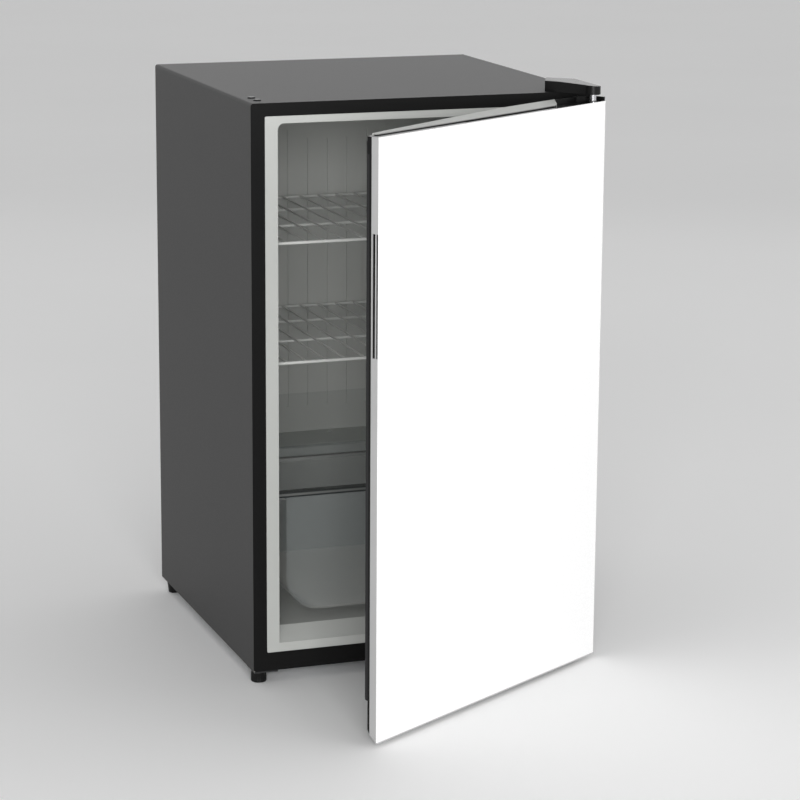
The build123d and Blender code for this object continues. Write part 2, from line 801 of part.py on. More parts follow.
def door_side_trim(side):
    """The grey strip down one edge of the door, with the handle's slots in the free one."""
    inner = side * (HALF - WALL)
    outer = side * HALF
    top = DOOR_HIGH if side < 0 else UPPER_CAP
    trim = block(min(inner, outer), max(inner, outer), depth(PANEL), depth(TRIM), LOWER_CAP, top)
    return trim if side > 0 else cut(trim, pocket_room(), *finger_slots(-HALF - 1, -HALF + POCKET_SKIN + 1))


def pocket_room():
    """The space behind the trim's skin that the handle's pocket fills."""
    return block(
        -HALF + POCKET_SKIN, -HALF + POCKET_DEEP, depth(PANEL), depth(POCKET_BACK),
        POCKET_LOW - POCKET_END, POCKET_HIGH + POCKET_END,
    )


def handle_pocket():
    """The finger recess in the free edge: two upright slots with a rib between them."""
    return cut(pocket_room(), *finger_slots(-HALF, -HALF + POCKET_DEEP - 2))


TOP_LIP = 7.0  # depth of the grey lip behind the face, along the top edge
TOP_WEB = 802.0
TOP_RIB = 805.0  # floor of the groove behind the lip
TOP_STEP = 810.0  # top of the frame behind that groove
TOP_GROOVE = 11.0
SWEEP = ((136.0, 9.0), (152.0, 15.0), (163.0, 22.0), (173.0, 31.0), (176.0, 34.0))


def hinge_cap_plan(z0, z1):
    """The corner piece round the upper hinge, seen from above: its left end is swept back."""
    points = [(SWEEP[0][0], depth(PANEL)), (HALF, depth(PANEL)), (HALF, depth(SHOULDER))]
    points += [(HALF - BEVEL, depth(FRAME_BACK))]
    points += [(x, depth(d)) for x, d in reversed(SWEEP)]
    return plan_view(points, z0, z1)


def top_ridge():
    """The low ridge beside the free corner that tapers away towards the middle."""
    end = -HALF + WALL
    points = [(end, depth(8.4)), (-60, depth(8.4)), (-60, depth(9.0)), (end, depth(10.4))]
    return plan_view(points, TOP_WEB - 1, DOOR_HIGH)


def door_top_cap():
    """The grey moulding along the top edge: a lip behind the face and a low web under the frame's rib."""
    lip = block(-HALF + WALL, HALF, depth(PANEL), depth(TOP_LIP), UPPER_CAP, DOOR_HIGH)
    web = block(-HALF + WALL, HALF, depth(PANEL), depth(CAP), UPPER_CAP, TOP_WEB)
    return cut(merge([lip, web, top_ridge()]), hinge_cap_plan(UPPER_CAP - 1, DOOR_HIGH + 1))


RIM_TOP = 814.0  # upstanding rim round the back and right of the hinge corner
RIM_WALL = 2.0
RIM_FLOOR = 806.0


def door_hinge_cap():
    """The black corner piece round the upper hinge: a low floor with a rim along its back and right side."""
    right = HALF - RIM_WALL
    back = FRAME_BACK - RIM_WALL
    left = SWEEP[0][0] - 10
    points = [
        (left, depth(-1)), (right, depth(-1)), (right, depth(SHOULDER - 0.6)),
        (HALF - BEVEL - 1.2, depth(back)), (left, depth(back)),
    ]
    cap = hinge_cap_plan(UPPER_CAP, RIM_TOP) - plan_view(points, RIM_FLOOR, RIM_TOP + 1)
    boss = hinge_tip(8, RIM_FLOOR - 1, DOOR_HIGH)
    return cut(cap + boss, bush(0, TOP))


TAB = 7.0  # depth of the black tab at the top of the free edge
TAB_LOW = 786.0
FRAME_TOP_HIGH = 806.0


def door_back_frame():
    """The black frame behind the trims, bevelled towards the cabinet, with a rib along the top."""
    frame = door_solid(0, TRIM, FRAME_BACK) - door_solid(WALL, 0, FRAME_BACK + 1, DOOR_HIGH - 2.4)
    above = block(-HALF + WALL, HALF + 1, depth(CAP), depth(FRAME_BACK + 1), FRAME_TOP_HIGH, TOP)
    frame = frame - above
    tab = block(-HALF, -HALF + WALL, depth(TRIM), depth(TRIM + TAB), TAB_LOW, DOOR_HIGH)
    rib = block(-HALF + WALL, HALF, depth(TOP_LIP), depth(CAP), TOP_WEB, TOP_STEP)
    groove = block(-HALF + WALL, HALF, depth(TOP_LIP - 1), depth(TOP_GROOVE), TOP_RIB, TOP)
    web = block(-HALF + WALL, HALF, depth(0), depth(CAP), UPPER_CAP, TOP_WEB)
    corner = hinge_cap_plan(UPPER_CAP, TOP)
    trims = block(-HALF - 1, HALF + 1, depth(0), depth(TRIM), 0, TOP_WEB)
    edge = block(-HALF - 1, -HALF + WALL, depth(0), depth(TRIM), 0, TOP)
    lip = block(-HALF, HALF, depth(0), depth(TOP_LIP), 0, TOP)
    frame = cut(frame, web, trims, edge, lip)
    return cut(merge([frame, tab, rib]), groove, top_ridge(), corner, bottom_recess(), bush(0, TOP))


# door liner, on the cabinet's side of the door
GASKET_X = HALF - 31.0
GASKET_LOW = 46.5
GASKET_HIGH = 799.5
GASKET_WIDE = 8.0
GASKET_AIR = 0.3
LIP_WIDE = 3.5  # the seal's two lips, either side of a shallow groove
PAN_X = GASKET_X - GASKET_WIDE - GASKET_AIR
PAN_LOW = 40.0
PAN_HIGH = 804.0
CREST = 813.0  # the liner's top edge, folded forward over the frame
CREST_FRONT = 810.2
DYKE_X = HALF - 56.0
DYKE_LOW = 88.0
DYKE_HIGH = 777.0
DYKE_WIDE = 12.0
DYKE_BACK = 64.0
DISH = 22.5


def liner_crest():
    """The liner's top edge folded forward over the frame, rising to the back and narrow at the free end."""
    end = -HALF + WALL + 3
    plan = [(end, depth(17)), (-50, depth(CAP)), (152, depth(CAP))]
    plan += [(x, depth(d)) for x, d in SWEEP[2:]]
    plan += [(186, depth(DOOR)), (60, depth(DOOR)), (-PAN_X, depth(24)), (end, depth(21))]
    profile = [
        (depth(CAP - 1), FRAME_TOP_HIGH), (depth(FRAME_BACK), FRAME_TOP_HIGH),
        (depth(FRAME_BACK), PAN_HIGH - 3), (depth(DOOR), PAN_HIGH - 3),
        (depth(DOOR), CREST), (depth(CAP - 1), CREST_FRONT),
    ]
    return plan_view(plan, PAN_HIGH - 5, CREST + 1) & side_view(profile, -HALF, HALF)


def door_liner():
    """The formed inside of the door: a flat flange, a raised ring and a dished middle."""
    flange = front_view(-PAN_X, PAN_X, PAN_LOW, PAN_HIGH, 6, depth(FRAME_BACK), depth(DOOR)) + liner_crest()
    ring = front_view(-DYKE_X, DYKE_X, DYKE_LOW, DYKE_HIGH, 16, depth(DISH - 2), depth(DYKE_BACK))
    inner_x = DYKE_X - DYKE_WIDE
    dish = front_view(
        -inner_x, inner_x, DYKE_LOW + DYKE_WIDE, DYKE_HIGH - DYKE_WIDE, 8, depth(DISH), depth(DYKE_BACK + 1)
    )
    ring = fillet(ring.faces().sort_by(Axis.Y)[-1].edges(), 4)
    return (flange + ring) - dish


def door_foam():
    """Rigid foam inside the door."""
    foam = door_solid(WALL, PANEL, FRAME_BACK, DOOR_HIGH - 2.4)
    ring = front_view(-DYKE_X, DYKE_X, DYKE_LOW, DYKE_HIGH, 16, depth(DISH - 2), depth(FRAME_BACK + 1))
    tools = [
        ring,
        block(HINGE_X - 8, HALF, depth(3), depth(21), 0, FOOT + 1 + BUSH),
        block(HINGE_X - 8, HALF, depth(3), depth(21), DOOR_HIGH - BUSH, TOP),
        block(-HALF, HALF, depth(0), depth(TRIM), 0, LOWER_CAP),
        block(-HALF, HALF, depth(0), depth(CAP), UPPER_CAP, TOP),
        hinge_cap_plan(UPPER_CAP, TOP),
        pocket_room(),
        bottom_recess(),
    ]
    return cut(foam, *tools)


def door_gasket():
    """The magnetic seal, just clear of the cabinet's flange when the door is shut."""
    back = -FLANGE - GASKET_AIR
    x_in = GASKET_X - GASKET_WIDE
    outer = front_view(-GASKET_X, GASKET_X, GASKET_LOW, GASKET_HIGH, 5, depth(DOOR), back)
    foot = front_view(-GASKET_X, GASKET_X, GASKET_LOW, GASKET_HIGH, 5, depth(FRAME_BACK), back)
    foot = foot - block(-x_in, x_in, depth(0), DEPTH, 0, TOP)
    low = GASKET_LOW + GASKET_WIDE
    high = GASKET_HIGH - GASKET_WIDE
    inner = front_view(-x_in, x_in, low, high, 2, depth(DOOR) - 1, back + 1)
    outside = front_view(
        -GASKET_X + LIP_WIDE, GASKET_X - LIP_WIDE, GASKET_LOW + LIP_WIDE, GASKET_HIGH - LIP_WIDE, 4,
        back - 0.8, back + 1,
    )
    inside = front_view(
        -x_in - LIP_WIDE, x_in + LIP_WIDE, low - LIP_WIDE, high + LIP_WIDE, 3, back - 2, back + 2,
    )
    return (outer - inner) + foot - (outside - inside)


def door_bush(z0, z1):
    """A plastic bush round a hinge pin."""
    return bush(z0, z1) - hinge_tip(PIN + PIN_PLAY, z0 - 1, z1 + 1)


RACK_X = DYKE_X - DYKE_WIDE - 0.2
RACK_BACK = 27.0
RACK_WALL = 2.5


def door_rack(low, high):
    """A rack across the door: floor, ends and a front guard, open at the top."""
    y0 = depth(DISH)
    outer = block(-RACK_X, RACK_X, y0, RACK_BACK, low, high)
    outer = fillet(outer.edges().filter_by(Axis.Z).sort_by(Axis.Y)[-2:], 10)
    end = RACK_X - RACK_WALL
    inner = block(-end, end, y0 + RACK_WALL, RACK_BACK - RACK_WALL, low + RACK_WALL, high + 1)
    inner = fillet(inner.edges().filter_by(Axis.Z).sort_by(Axis.Y)[-2:], 10 - RACK_WALL)
    lowered = block(-RACK_X - 1, RACK_X + 1, y0 - 1, y0 + RACK_WALL, low + 14, high + 1)
    return outer - inner - lowered


RACKS = {
    "door_rack_lower": (110.0, 182.0),
    "door_rack_middle": (345.0, 402.0),
    "door_rack_upper": (580.0, 634.0),
}


# ---------------------------------------------------------------- writing the nodes


def save(name, shapes, place=Location()):
    """Write one node, its solids moved to the row's origin."""
    shapes = shapes if isinstance(shapes, list) else [shapes]
    solids = []
    for shape in shapes:
        solids += shape.solids()
    moved = [Pos(0, FRONT_Y, 0) * place * solid for solid in solids]
    whole = moved[0] if len(moved) == 1 else Compound(children=moved)
    export_step(whole, f"parts/{name}.step")
    print(name, len(moved), "solids")


cabinet = {
    "cabinet_wrap": cut(cabinet_wrap(), *top_screws(), *hole_plugs()),
    "front_frame": front_frame(),
    "back_panel": back_panel(),
    "base_pan": base_pan(),
    "inner_liner": inner_liner(),
    "cabinet_foam": cabinet_foam(),
    "evaporator_plate": evaporator_plate(),
    "evaporator_tube": evaporator_tube(),
    "drain_tube": drain_tube(),
    "evaporating_tray": evaporating_tray(),
    "compressor": compressor(),
    "compressor_rail": compressor_rail(),
    "compressor_grommets": compressor_grommets(),
    "compressor_bolts": compressor_bolts(),
    "terminal_box": terminal_box(),
    "cord_gland": cord_gland(),
    "discharge_tube": discharge_tube(),
    "suction_tube": suction_tube(),
    "capillary_tube": capillary_tube(),
    "liquid_tube": liquid_tube(),
    "filter_drier": filter_drier(),
    "condenser": condenser(),
    "condenser_brackets": condenser_brackets(),
    "back_panel_screws": back_screws(),
    "hinge_hole_plugs": hole_plugs(),
    "top_hinge_bracket": top_hinge_bracket(),
    "top_hinge_pin": top_hinge_pin(),
    "top_hinge_screws": top_screws(),
    "hinge_cover": hinge_cover(),
    "bottom_hinge_bracket": bottom_hinge_bracket(),
    "bottom_hinge_pin": bottom_hinge_pin(),
    "bottom_hinge_screws": bottom_screws(),
    "foot_plate": foot_plate(),
    "rear_feet": rear_feet(),
    "thermostat_housing": thermostat_housing(),
    "front_left_foot": front_foot(-1),
    "front_right_foot": front_foot(1),
    "wire_shelf_upper": wire_shelf(UPPER_SHELF),
    "wire_shelf_lower": wire_shelf(LOWER_SHELF),
    "glass_shelf": glass_shelf(),
    "glass_shelf_trim": glass_shelf_trim(),
    "crisper_tub": crisper_tub(),
    "crisper_rim": crisper_rim(),
    "crisper_strip": crisper_strip(),
    "thermostat_knob": thermostat_knob(),
}

door = {
    "door_front_panel": door_front_panel(),
    "door_bottom_cap": door_bottom_cap(),
    "door_trim_free_side": door_side_trim(-1),
    "door_trim_hinge_side": door_side_trim(1),
    "handle_pocket": handle_pocket(),
    "door_top_cap": door_top_cap(),
    "door_hinge_cap": door_hinge_cap(),
    "door_back_frame": door_back_frame(),
    "door_liner": door_liner(),
    "door_foam": door_foam(),
    "door_gasket": door_gasket(),
    "door_bushes": [door_bush(FOOT + 1, FOOT + 1 + BUSH), door_bush(DOOR_HIGH - BUSH, DOOR_HIGH)],
}
for rack, (low, high) in RACKS.items():
    door[rack] = door_rack(low, high)

opened = Pos(HINGE_X, HINGE_Y, 0) * Rot(0, 0, OPEN) * Pos(-HINGE_X, -HINGE_Y, 0)

for name, shapes in cabinet.items():
    save(name, shapes)
for name, shapes in door.items():
    save(name, shapes, opened)
print("front plane at", round(FRONT_Y, 3))
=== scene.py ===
"""The mini fridge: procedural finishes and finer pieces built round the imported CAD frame."""

import json
import math

import bmesh
import bpy
from mathutils import Matrix, Vector


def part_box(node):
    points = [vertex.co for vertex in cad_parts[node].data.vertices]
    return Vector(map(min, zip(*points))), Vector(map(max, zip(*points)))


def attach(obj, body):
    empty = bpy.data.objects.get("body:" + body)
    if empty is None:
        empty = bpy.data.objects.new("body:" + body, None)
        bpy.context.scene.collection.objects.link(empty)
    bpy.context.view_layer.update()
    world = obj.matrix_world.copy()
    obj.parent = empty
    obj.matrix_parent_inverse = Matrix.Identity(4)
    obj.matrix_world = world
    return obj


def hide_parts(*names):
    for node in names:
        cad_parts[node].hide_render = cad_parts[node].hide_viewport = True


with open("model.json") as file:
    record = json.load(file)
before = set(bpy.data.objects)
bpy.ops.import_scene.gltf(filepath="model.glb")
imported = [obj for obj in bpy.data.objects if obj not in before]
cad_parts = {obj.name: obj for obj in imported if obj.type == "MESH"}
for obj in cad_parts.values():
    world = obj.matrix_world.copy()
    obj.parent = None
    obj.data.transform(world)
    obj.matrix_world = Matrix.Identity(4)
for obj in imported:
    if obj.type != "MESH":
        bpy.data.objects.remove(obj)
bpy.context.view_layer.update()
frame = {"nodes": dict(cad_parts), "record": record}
MM = 0.001

# ---------------------------------------------------------------- places read from the frame

FRONT_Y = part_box("front_frame")[0].y
WRAP_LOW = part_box("cabinet_wrap")[0]
SLOT_OF = {part["node"]: part["material_slot"] for part in frame["record"]["subparts"]}
BODY_OF = {node: body for body, nodes in frame["record"]["behaviour"]["bodies"].items() for node in nodes}


# ---------------------------------------------------------------- materials


def tree_of(name):
    """A new material with only its Principled shader and output."""
    material = bpy.data.materials.new(name)
    material.use_nodes = True
    return material, material.node_tree.nodes, material.node_tree.links


def noise(nodes, links, scale, detail):
    """A noise field in object space."""
    place = nodes.new("ShaderNodeTexCoord")
    field = nodes.new("ShaderNodeTexNoise")
    field.inputs["Scale"].default_value = scale
    field.inputs["Detail"].default_value = detail
    links.new(place.outputs["Object"], field.inputs["Vector"])
    return field


NOISE_LOW = 0.3  # most of a noise field lies between these two
NOISE_HIGH = 0.7


def spread(nodes, links, source, low, high):
    """A noise value moved into a range."""
    span = nodes.new("ShaderNodeMapRange")
    span.inputs["From Min"].default_value = NOISE_LOW
    span.inputs["From Max"].default_value = NOISE_HIGH
    span.inputs["To Min"].default_value = low
    span.inputs["To Max"].default_value = high
    links.new(source, span.inputs["Value"])
    return span.outputs["Result"]


CLOUD_DETAIL = 4.0
GRAIN_DETAIL = 2.0
COAT_ROUGHNESS = 0.1


def finish(name, colour, shade=0.04, rough=(0.4, 0.5), metallic=0.0, cloud=6.0, grain=900.0,
           bump=0.05, depth=0.00005, coat=0.0, alpha=1.0, specular=0.5):
    """A moulded, painted or bare metal finish: cloudy tone, uneven polish and a fine grain."""
    material, nodes, links = tree_of(name)
    shader = nodes["Principled BSDF"]
    cloudy = noise(nodes, links, cloud, CLOUD_DETAIL)
    fine = noise(nodes, links, grain, GRAIN_DETAIL)
    tone = nodes.new("ShaderNodeMix")
    tone.data_type = "RGBA"
    dark = [c * (1 - shade) for c in colour]
    light = [min(1.0, c * (1 + shade)) for c in colour]
    tone.inputs["A"].default_value = (*dark, 1)
    tone.inputs["B"].default_value = (*light, 1)
    links.new(spread(nodes, links, cloudy.outputs["Fac"], 0, 1), tone.inputs["Factor"])
    links.new(tone.outputs["Result"], shader.inputs["Base Color"])
    links.new(spread(nodes, links, fine.outputs["Fac"], *rough), shader.inputs["Roughness"])
    relief = nodes.new("ShaderNodeBump")
    relief.inputs["Strength"].default_value = bump
    relief.inputs["Distance"].default_value = depth
    links.new(fine.outputs["Fac"], relief.inputs["Height"])
    links.new(relief.outputs["Normal"], shader.inputs["Normal"])
    shader.inputs["Metallic"].default_value = metallic
    shader.inputs["Coat Weight"].default_value = coat
    shader.inputs["Coat Roughness"].default_value = COAT_ROUGHNESS
    shader.inputs["Alpha"].default_value = alpha
    shader.inputs["Specular IOR Level"].default_value = specular
    return material


FLAT_FROM = 0.4  # upward part of the normal, where a clear wall starts to get the painted-light colour and more opacity
FLAT_FULL = 0.95


def clear_look(name, colour, opacity, rough, floor=None, painted_light_colour=None):
    """A clear moulding or glass with thin tinted walls; where it lies flat it can be denser and painted
    paler, painted light in place of lamp light.
    """
    material = finish(
        name, colour, shade=0.03, rough=rough, cloud=12.0, grain=260.0, bump=0.02, alpha=opacity,
    )
    if floor is None:
        return material
    nodes, links = material.node_tree.nodes, material.node_tree.links
    shader = nodes["Principled BSDF"]
    facing = nodes.new("ShaderNodeNewGeometry")
    axes = nodes.new("ShaderNodeSeparateXYZ")
    level = nodes.new("ShaderNodeMapRange")
    level.inputs["From Min"].default_value = FLAT_FROM
    level.inputs["From Max"].default_value = FLAT_FULL
    density = nodes.new("ShaderNodeMapRange")
    density.inputs["To Min"].default_value = opacity
    density.inputs["To Max"].default_value = floor
    # the paler colour on faces turned up is painted light, standing in for lamp light on a floor that lies
    # in shade
    painted_light_mix = nodes.new("ShaderNodeMix")
    painted_light_mix.data_type = "RGBA"
    painted_light_mix.inputs["B"].default_value = (*painted_light_colour, 1)
    links.new(facing.outputs["Normal"], axes.inputs["Vector"])
    links.new(axes.outputs["Z"], level.inputs["Value"])
    links.new(level.outputs["Result"], density.inputs["Value"])
    links.new(density.outputs["Result"], shader.inputs["Alpha"])
    links.new(shader.inputs["Base Color"].links[0].from_socket, painted_light_mix.inputs["A"])
    links.new(level.outputs["Result"], painted_light_mix.inputs["Factor"])
    links.new(painted_light_mix.outputs["Result"], shader.inputs["Base Color"])
    return material


LOOKS = {
    "side_enamel": finish(
        "side_enamel", (0.026, 0.026, 0.026), shade=0.06, rough=(0.46, 0.56), cloud=2.5, grain=1400,
        bump=0.3, depth=0.0001, specular=0.42,
    ),
    "black_steel": finish(
        "black_steel", (0.006, 0.006, 0.006), shade=0.08, rough=(0.5, 0.6), cloud=5.0, grain=1200,
        specular=0.12,
    ),
    "galvanised": finish(
        "galvanised", (0.42, 0.44, 0.45), shade=0.12, rough=(0.35, 0.5), metallic=0.8, cloud=14.0,
        grain=300,
    ),
    "liner_grey": finish(
        "liner_grey", (0.50, 0.51, 0.49), shade=0.02, cloud=3.0, grain=700, specular=0.35,
    ),
    "foam": finish(
        "foam", (0.80, 0.72, 0.48), shade=0.10, rough=(0.8, 0.95), cloud=60.0, grain=500, bump=0.6,
        depth=0.0004,
    ),
    "aluminium": finish(
        "aluminium", (0.72, 0.73, 0.74), shade=0.05, rough=(0.3, 0.45), metallic=1.0, cloud=8.0,
        grain=600, bump=0.1,
    ),
    "grey_plastic": finish("grey_plastic", (0.22, 0.22, 0.22), shade=0.05, rough=(0.5, 0.65), cloud=10.0),
    "black_plastic": finish(
        "black_plastic", (0.005, 0.005, 0.005), shade=0.12, rough=(0.26, 0.36), cloud=8.0, grain=1500,
        bump=0.1, specular=0.22,
    ),
    "black_enamel": finish(
        "black_enamel", (0.012, 0.012, 0.013), shade=0.10, rough=(0.3, 0.42), cloud=8.0, grain=800,
        bump=0.1, coat=0.3,
    ),
    "rubber": finish("rubber", (0.02, 0.02, 0.02), shade=0.15, rough=(0.75, 0.9), cloud=20.0, bump=0.3),
    "zinc": finish(
        "zinc", (0.55, 0.56, 0.56), shade=0.08, rough=(0.3, 0.42), metallic=1.0, cloud=30.0, grain=700,
        bump=0.1,
    ),
    "bright_steel": finish(
        "bright_steel", (0.75, 0.75, 0.77), shade=0.03, rough=(0.12, 0.2), metallic=1.0, cloud=20.0,
        grain=700, bump=0.04,
    ),
    "copper": finish(
        "copper", (0.72, 0.36, 0.20), shade=0.12, rough=(0.25, 0.4), metallic=1.0, cloud=25.0, grain=700,
    ),
    "shelf_wire": finish(
        "shelf_wire", (0.66, 0.67, 0.65), shade=0.03, rough=(0.30, 0.40), cloud=10.0, grain=700,
        specular=0.4,
    ),
    "light_plastic": finish(
        "light_plastic", (0.48, 0.49, 0.48), shade=0.03, rough=(0.28, 0.38), cloud=10.0, grain=800,
    ),
    "dark_rim": finish(
        "dark_rim", (0.025, 0.028, 0.028), shade=0.08, rough=(0.25, 0.35), cloud=10.0, grain=800,
    ),
    "white_panel": finish(
        "white_panel", (0.88, 0.88, 0.88), shade=0.006, rough=(0.22, 0.30), cloud=2.0, grain=500,
        bump=0.03, coat=0.4,
    ),
    "door_grey": finish(
        "door_grey", (0.42, 0.42, 0.42), shade=0.03, rough=(0.42, 0.52), cloud=8.0, bump=0.1,
        specular=0.35,
    ),
    "gasket": finish(
        "gasket", (0.016, 0.016, 0.017), shade=0.10, rough=(0.55, 0.7), cloud=10.0, grain=600, bump=0.1,
    ),
    "glass": clear_look("glass", (0.56, 0.66, 0.65), opacity=0.07, rough=(0.04, 0.07)),
    # the drawer's upward faces are painted pale and made denser: painted light on its floor, which lies in
    # shade
    "smoked_plastic": clear_look(
        "smoked_plastic", (0.32, 0.35, 0.35), opacity=0.17, rough=(0.14, 0.22), floor=0.85,
        painted_light_colour=(0.92, 0.90, 0.86),
    ),
    "trim_grey": finish("trim_grey", (0.13, 0.135, 0.13), shade=0.03, rough=(0.35, 0.45), cloud=10.0),
    "rack_plastic": clear_look("rack_plastic", (0.72, 0.76, 0.76), opacity=0.42, rough=(0.10, 0.18)),
}

SMOOTH_BELOW = 28  # degrees between two faces of a CAD piece that still shade as one surface

for node, piece in frame["nodes"].items():
    piece.data.materials.clear()
    piece.data.materials.append(LOOKS[SLOT_OF[node]])
    piece.data.shade_smooth()
    piece.data.set_sharp_from_angle(angle=math.radians(SMOOTH_BELOW))

# ---------------------------------------------------------------- edges of the CAD's own pieces

SHEET_EDGE = 0.4 * MM
MOULDED_EDGE = 0.8 * MM
SOFT_EDGES = {
    "cabinet_wrap": SHEET_EDGE,
    "front_frame": SHEET_EDGE,
    "back_panel": SHEET_EDGE,
    "door_front_panel": SHEET_EDGE,
    "foot_plate": SHEET_EDGE,
    "hinge_cover": MOULDED_EDGE,
    "door_bottom_cap": SHEET_EDGE,
    "door_trim_hinge_side": SHEET_EDGE,
    "door_hinge_cap": SHEET_EDGE,
    "glass_shelf": SHEET_EDGE,
    "thermostat_knob": SHEET_EDGE,
    "terminal_box": MOULDED_EDGE,
}
BEVEL_OVER = 40  # degrees
BEVEL_STEPS = 2


def soften(node, width):
    """A small round along the sharp edges of a CAD piece."""
    bevel = frame["nodes"][node].modifiers.new("soft edges", "BEVEL")
    bevel.width = width
    bevel.segments = BEVEL_STEPS
    bevel.limit_method = "ANGLE"
    bevel.angle_limit = math.radians(BEVEL_OVER)
    bevel.harden_normals = True


for node, width in SOFT_EDGES.items():
    soften(node, width)

# ---------------------------------------------------------------- mesh code for the finer pieces

CREASE = 35  # degrees


def piece_of(work, name, node):
    """A finished piece from bmesh, standing for a CAD node and riding on its body."""
    bmesh.ops.recalc_face_normals(work, faces=work.faces)
    mesh = bpy.data.meshes.new(name)
    work.to_mesh(mesh)
    work.free()
    piece = bpy.data.objects.new(name, mesh)
    bpy.context.scene.collection.objects.link(piece)
    mesh.materials.append(LOOKS[SLOT_OF[node]])
    mesh.shade_smooth()
    mesh.set_sharp_from_angle(angle=math.radians(CREASE))
    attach(piece, BODY_OF[node])
    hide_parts(node)
    return piece


def ring_round(work, centre, along, radius, sides, start):
    """A ring of vertices round a point of a path; start is the direction of the first one."""
    side = (start - along * start.dot(along)).normalized()
    other = along.cross(side)
    ring = []
    for n in range(sides):
        turn = 2 * math.pi * n / sides
        ring.append(work.verts.new(centre + radius * (math.cos(turn) * side + math.sin(turn) * other)))
    return ring


def add_tube(work, points, radius, start, sides=16, closed=False):
    """A round wire along a path, its open ends domed."""
    count = len(points)
    rings = []
    for n, point in enumerate(points):
        before = points[n - 1] if n or closed else point
        after = points[(n + 1) % count] if n < count - 1 or closed else point
        rings.append(ring_round(work, point, (after - before).normalized(), radius, sides, start))
    pairs = list(zip(rings, rings[1:]))
    if closed:
        pairs.append((rings[-1], rings[0]))
    for near, far in pairs:
        for n in range(sides):
            m = (n + 1) % sides
            work.faces.new((near[n], near[m], far[m], far[n]))
    if not closed:
        dome(work, rings[0], points[0], (points[0] - points[1]).normalized(), radius)
        dome(work, rings[-1], points[-1], (points[-1] - points[-2]).normalized(), radius)


DOME_RING = 0.7  # parts of the wire's radius
DOME_RISE = 0.25
DOME_TIP = 0.4


def dome(work, ring, centre, outward, radius):
    """A shallow round end on a wire."""
    sides = len(ring)
    step = outward * DOME_RISE * radius
    inner = [work.verts.new(centre + DOME_RING * (v.co - centre) + step) for v in ring]
    tip = work.verts.new(centre + outward * DOME_TIP * radius)
    for n in range(sides):
        m = (n + 1) % sides
        work.faces.new((ring[n], ring[m], inner[m], inner[n]))
        work.faces.new((inner[n], inner[m], tip))


RAIL_RADIUS = 2.25 * MM
WIRE_RADIUS = 1.4 * MM
CROSS_RADIUS = 1.8 * MM
WIRE_PITCH = 28.5 * MM
WIRES = 14
RAIL_CORNER = 10 * MM
WIRE_RISE = 0.9 * MM  # the wires lie this much above the rail's middle
WIRE_SIDES = 12
CORNER_STEPS = 8
RUN_STEPS = 4
CROSS_SPOTS = (0.395, 0.741)  # places of the cross wires, as parts of the shelf's depth


def straight_run(start, end):
    """Evenly spaced points along a straight wire."""
    return [start + (end - start) * n / RUN_STEPS for n in range(RUN_STEPS + 1)]


def rail_loop(left, right, front, back, z):
    """The round-cornered path of a shelf's outer rail, anticlockwise from the back right."""
    path = []
    corners = ((right, back, 0), (left, back, 90), (left, front, 180), (right, front, 270))
    for x, y, first in corners:
        inward_x = -RAIL_CORNER if x == right else RAIL_CORNER
        inward_y = -RAIL_CORNER if y == back else RAIL_CORNER
        centre = Vector((x + inward_x, y + inward_y, z))
        for step in range(CORNER_STEPS + 1):
            turn = math.radians(first + 90 * step / CORNER_STEPS)
            path.append(centre + RAIL_CORNER * Vector((math.cos(turn), math.sin(turn), 0)))
    return path


def wire_shelf(node):
    """A welded shelf: an outer rail, wires from front to back on it and two cross wires below."""
    low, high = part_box(node)
    z = high.z - RAIL_RADIUS
    left, right = low.x + RAIL_RADIUS, high.x - RAIL_RADIUS
    front, back = low.y + RAIL_RADIUS, high.y - RAIL_RADIUS
    up = Vector((0, 0, 1))
    work = bmesh.new()
    add_tube(work, rail_loop(left, right, front, back, z), RAIL_RADIUS, up, closed=True)
    wire_front, wire_back = front + RAIL_RADIUS / 2, back - RAIL_RADIUS / 2
    wire_z = z + WIRE_RISE
    for n in range(WIRES):
        x = (n - (WIRES - 1) / 2) * WIRE_PITCH
        run = straight_run(Vector((x, wire_front, wire_z)), Vector((x, wire_back, wire_z)))
        add_tube(work, run, WIRE_RADIUS, up, sides=WIRE_SIDES)
    for spot in CROSS_SPOTS:
        y = low.y + (high.y - low.y) * spot
        height = low.z + CROSS_RADIUS
        reach = high.x - CROSS_RADIUS
        run = straight_run(Vector((-reach, y, height)), Vector((reach, y, height)))
        add_tube(work, run, CROSS_RADIUS, up, sides=WIRE_SIDES)
    return piece_of(work, node + "_welded", node)


def add_lathe(work, profile, centre, sides=48, flutes=0, flute_depth=0.0, fluted=(0, 0)):
    """A turned body from (radius, height) pairs, its side optionally fluted between two heights."""
    rings = []
    for radius, height in profile:
        ring = []
        for n in range(sides):
            turn = 2 * math.pi * n / sides
            r = radius
            if flutes and fluted[0] <= height <= fluted[1]:
                r = radius - flute_depth * (0.5 - 0.5 * math.cos(flutes * turn))
            ring.append(work.verts.new(centre + Vector((r * math.cos(turn), r * math.sin(turn), height))))
        rings.append(ring)
    for near, far in zip(rings, rings[1:]):
        for n in range(sides):
            m = (n + 1) % sides
            work.faces.new((near[n], near[m], far[m], far[n]))
    work.faces.new(rings[0])
    work.faces.new(rings[-1])


STUD_RADIUS = 4 * MM
THREAD_DEPTH = 0.5 * MM
THREAD_LEVELS = 14
STUD_CHAMFER = 0.6 * MM
PAD_TOP = 15 * MM
# how far each point of the pad's side lies in from its full radius, and its height
PAD_PROFILE = ((4, 0), (1.2, 0), (0.4, 0.4), (0, 1.4), (0, 3), (0, 12), (0, 13.4), (0.5, 14.5), (1.6, 15))
FLUTES = 24
FLUTE_DEPTH = 0.8 * MM
FLUTED = (3 * MM, 12 * MM)


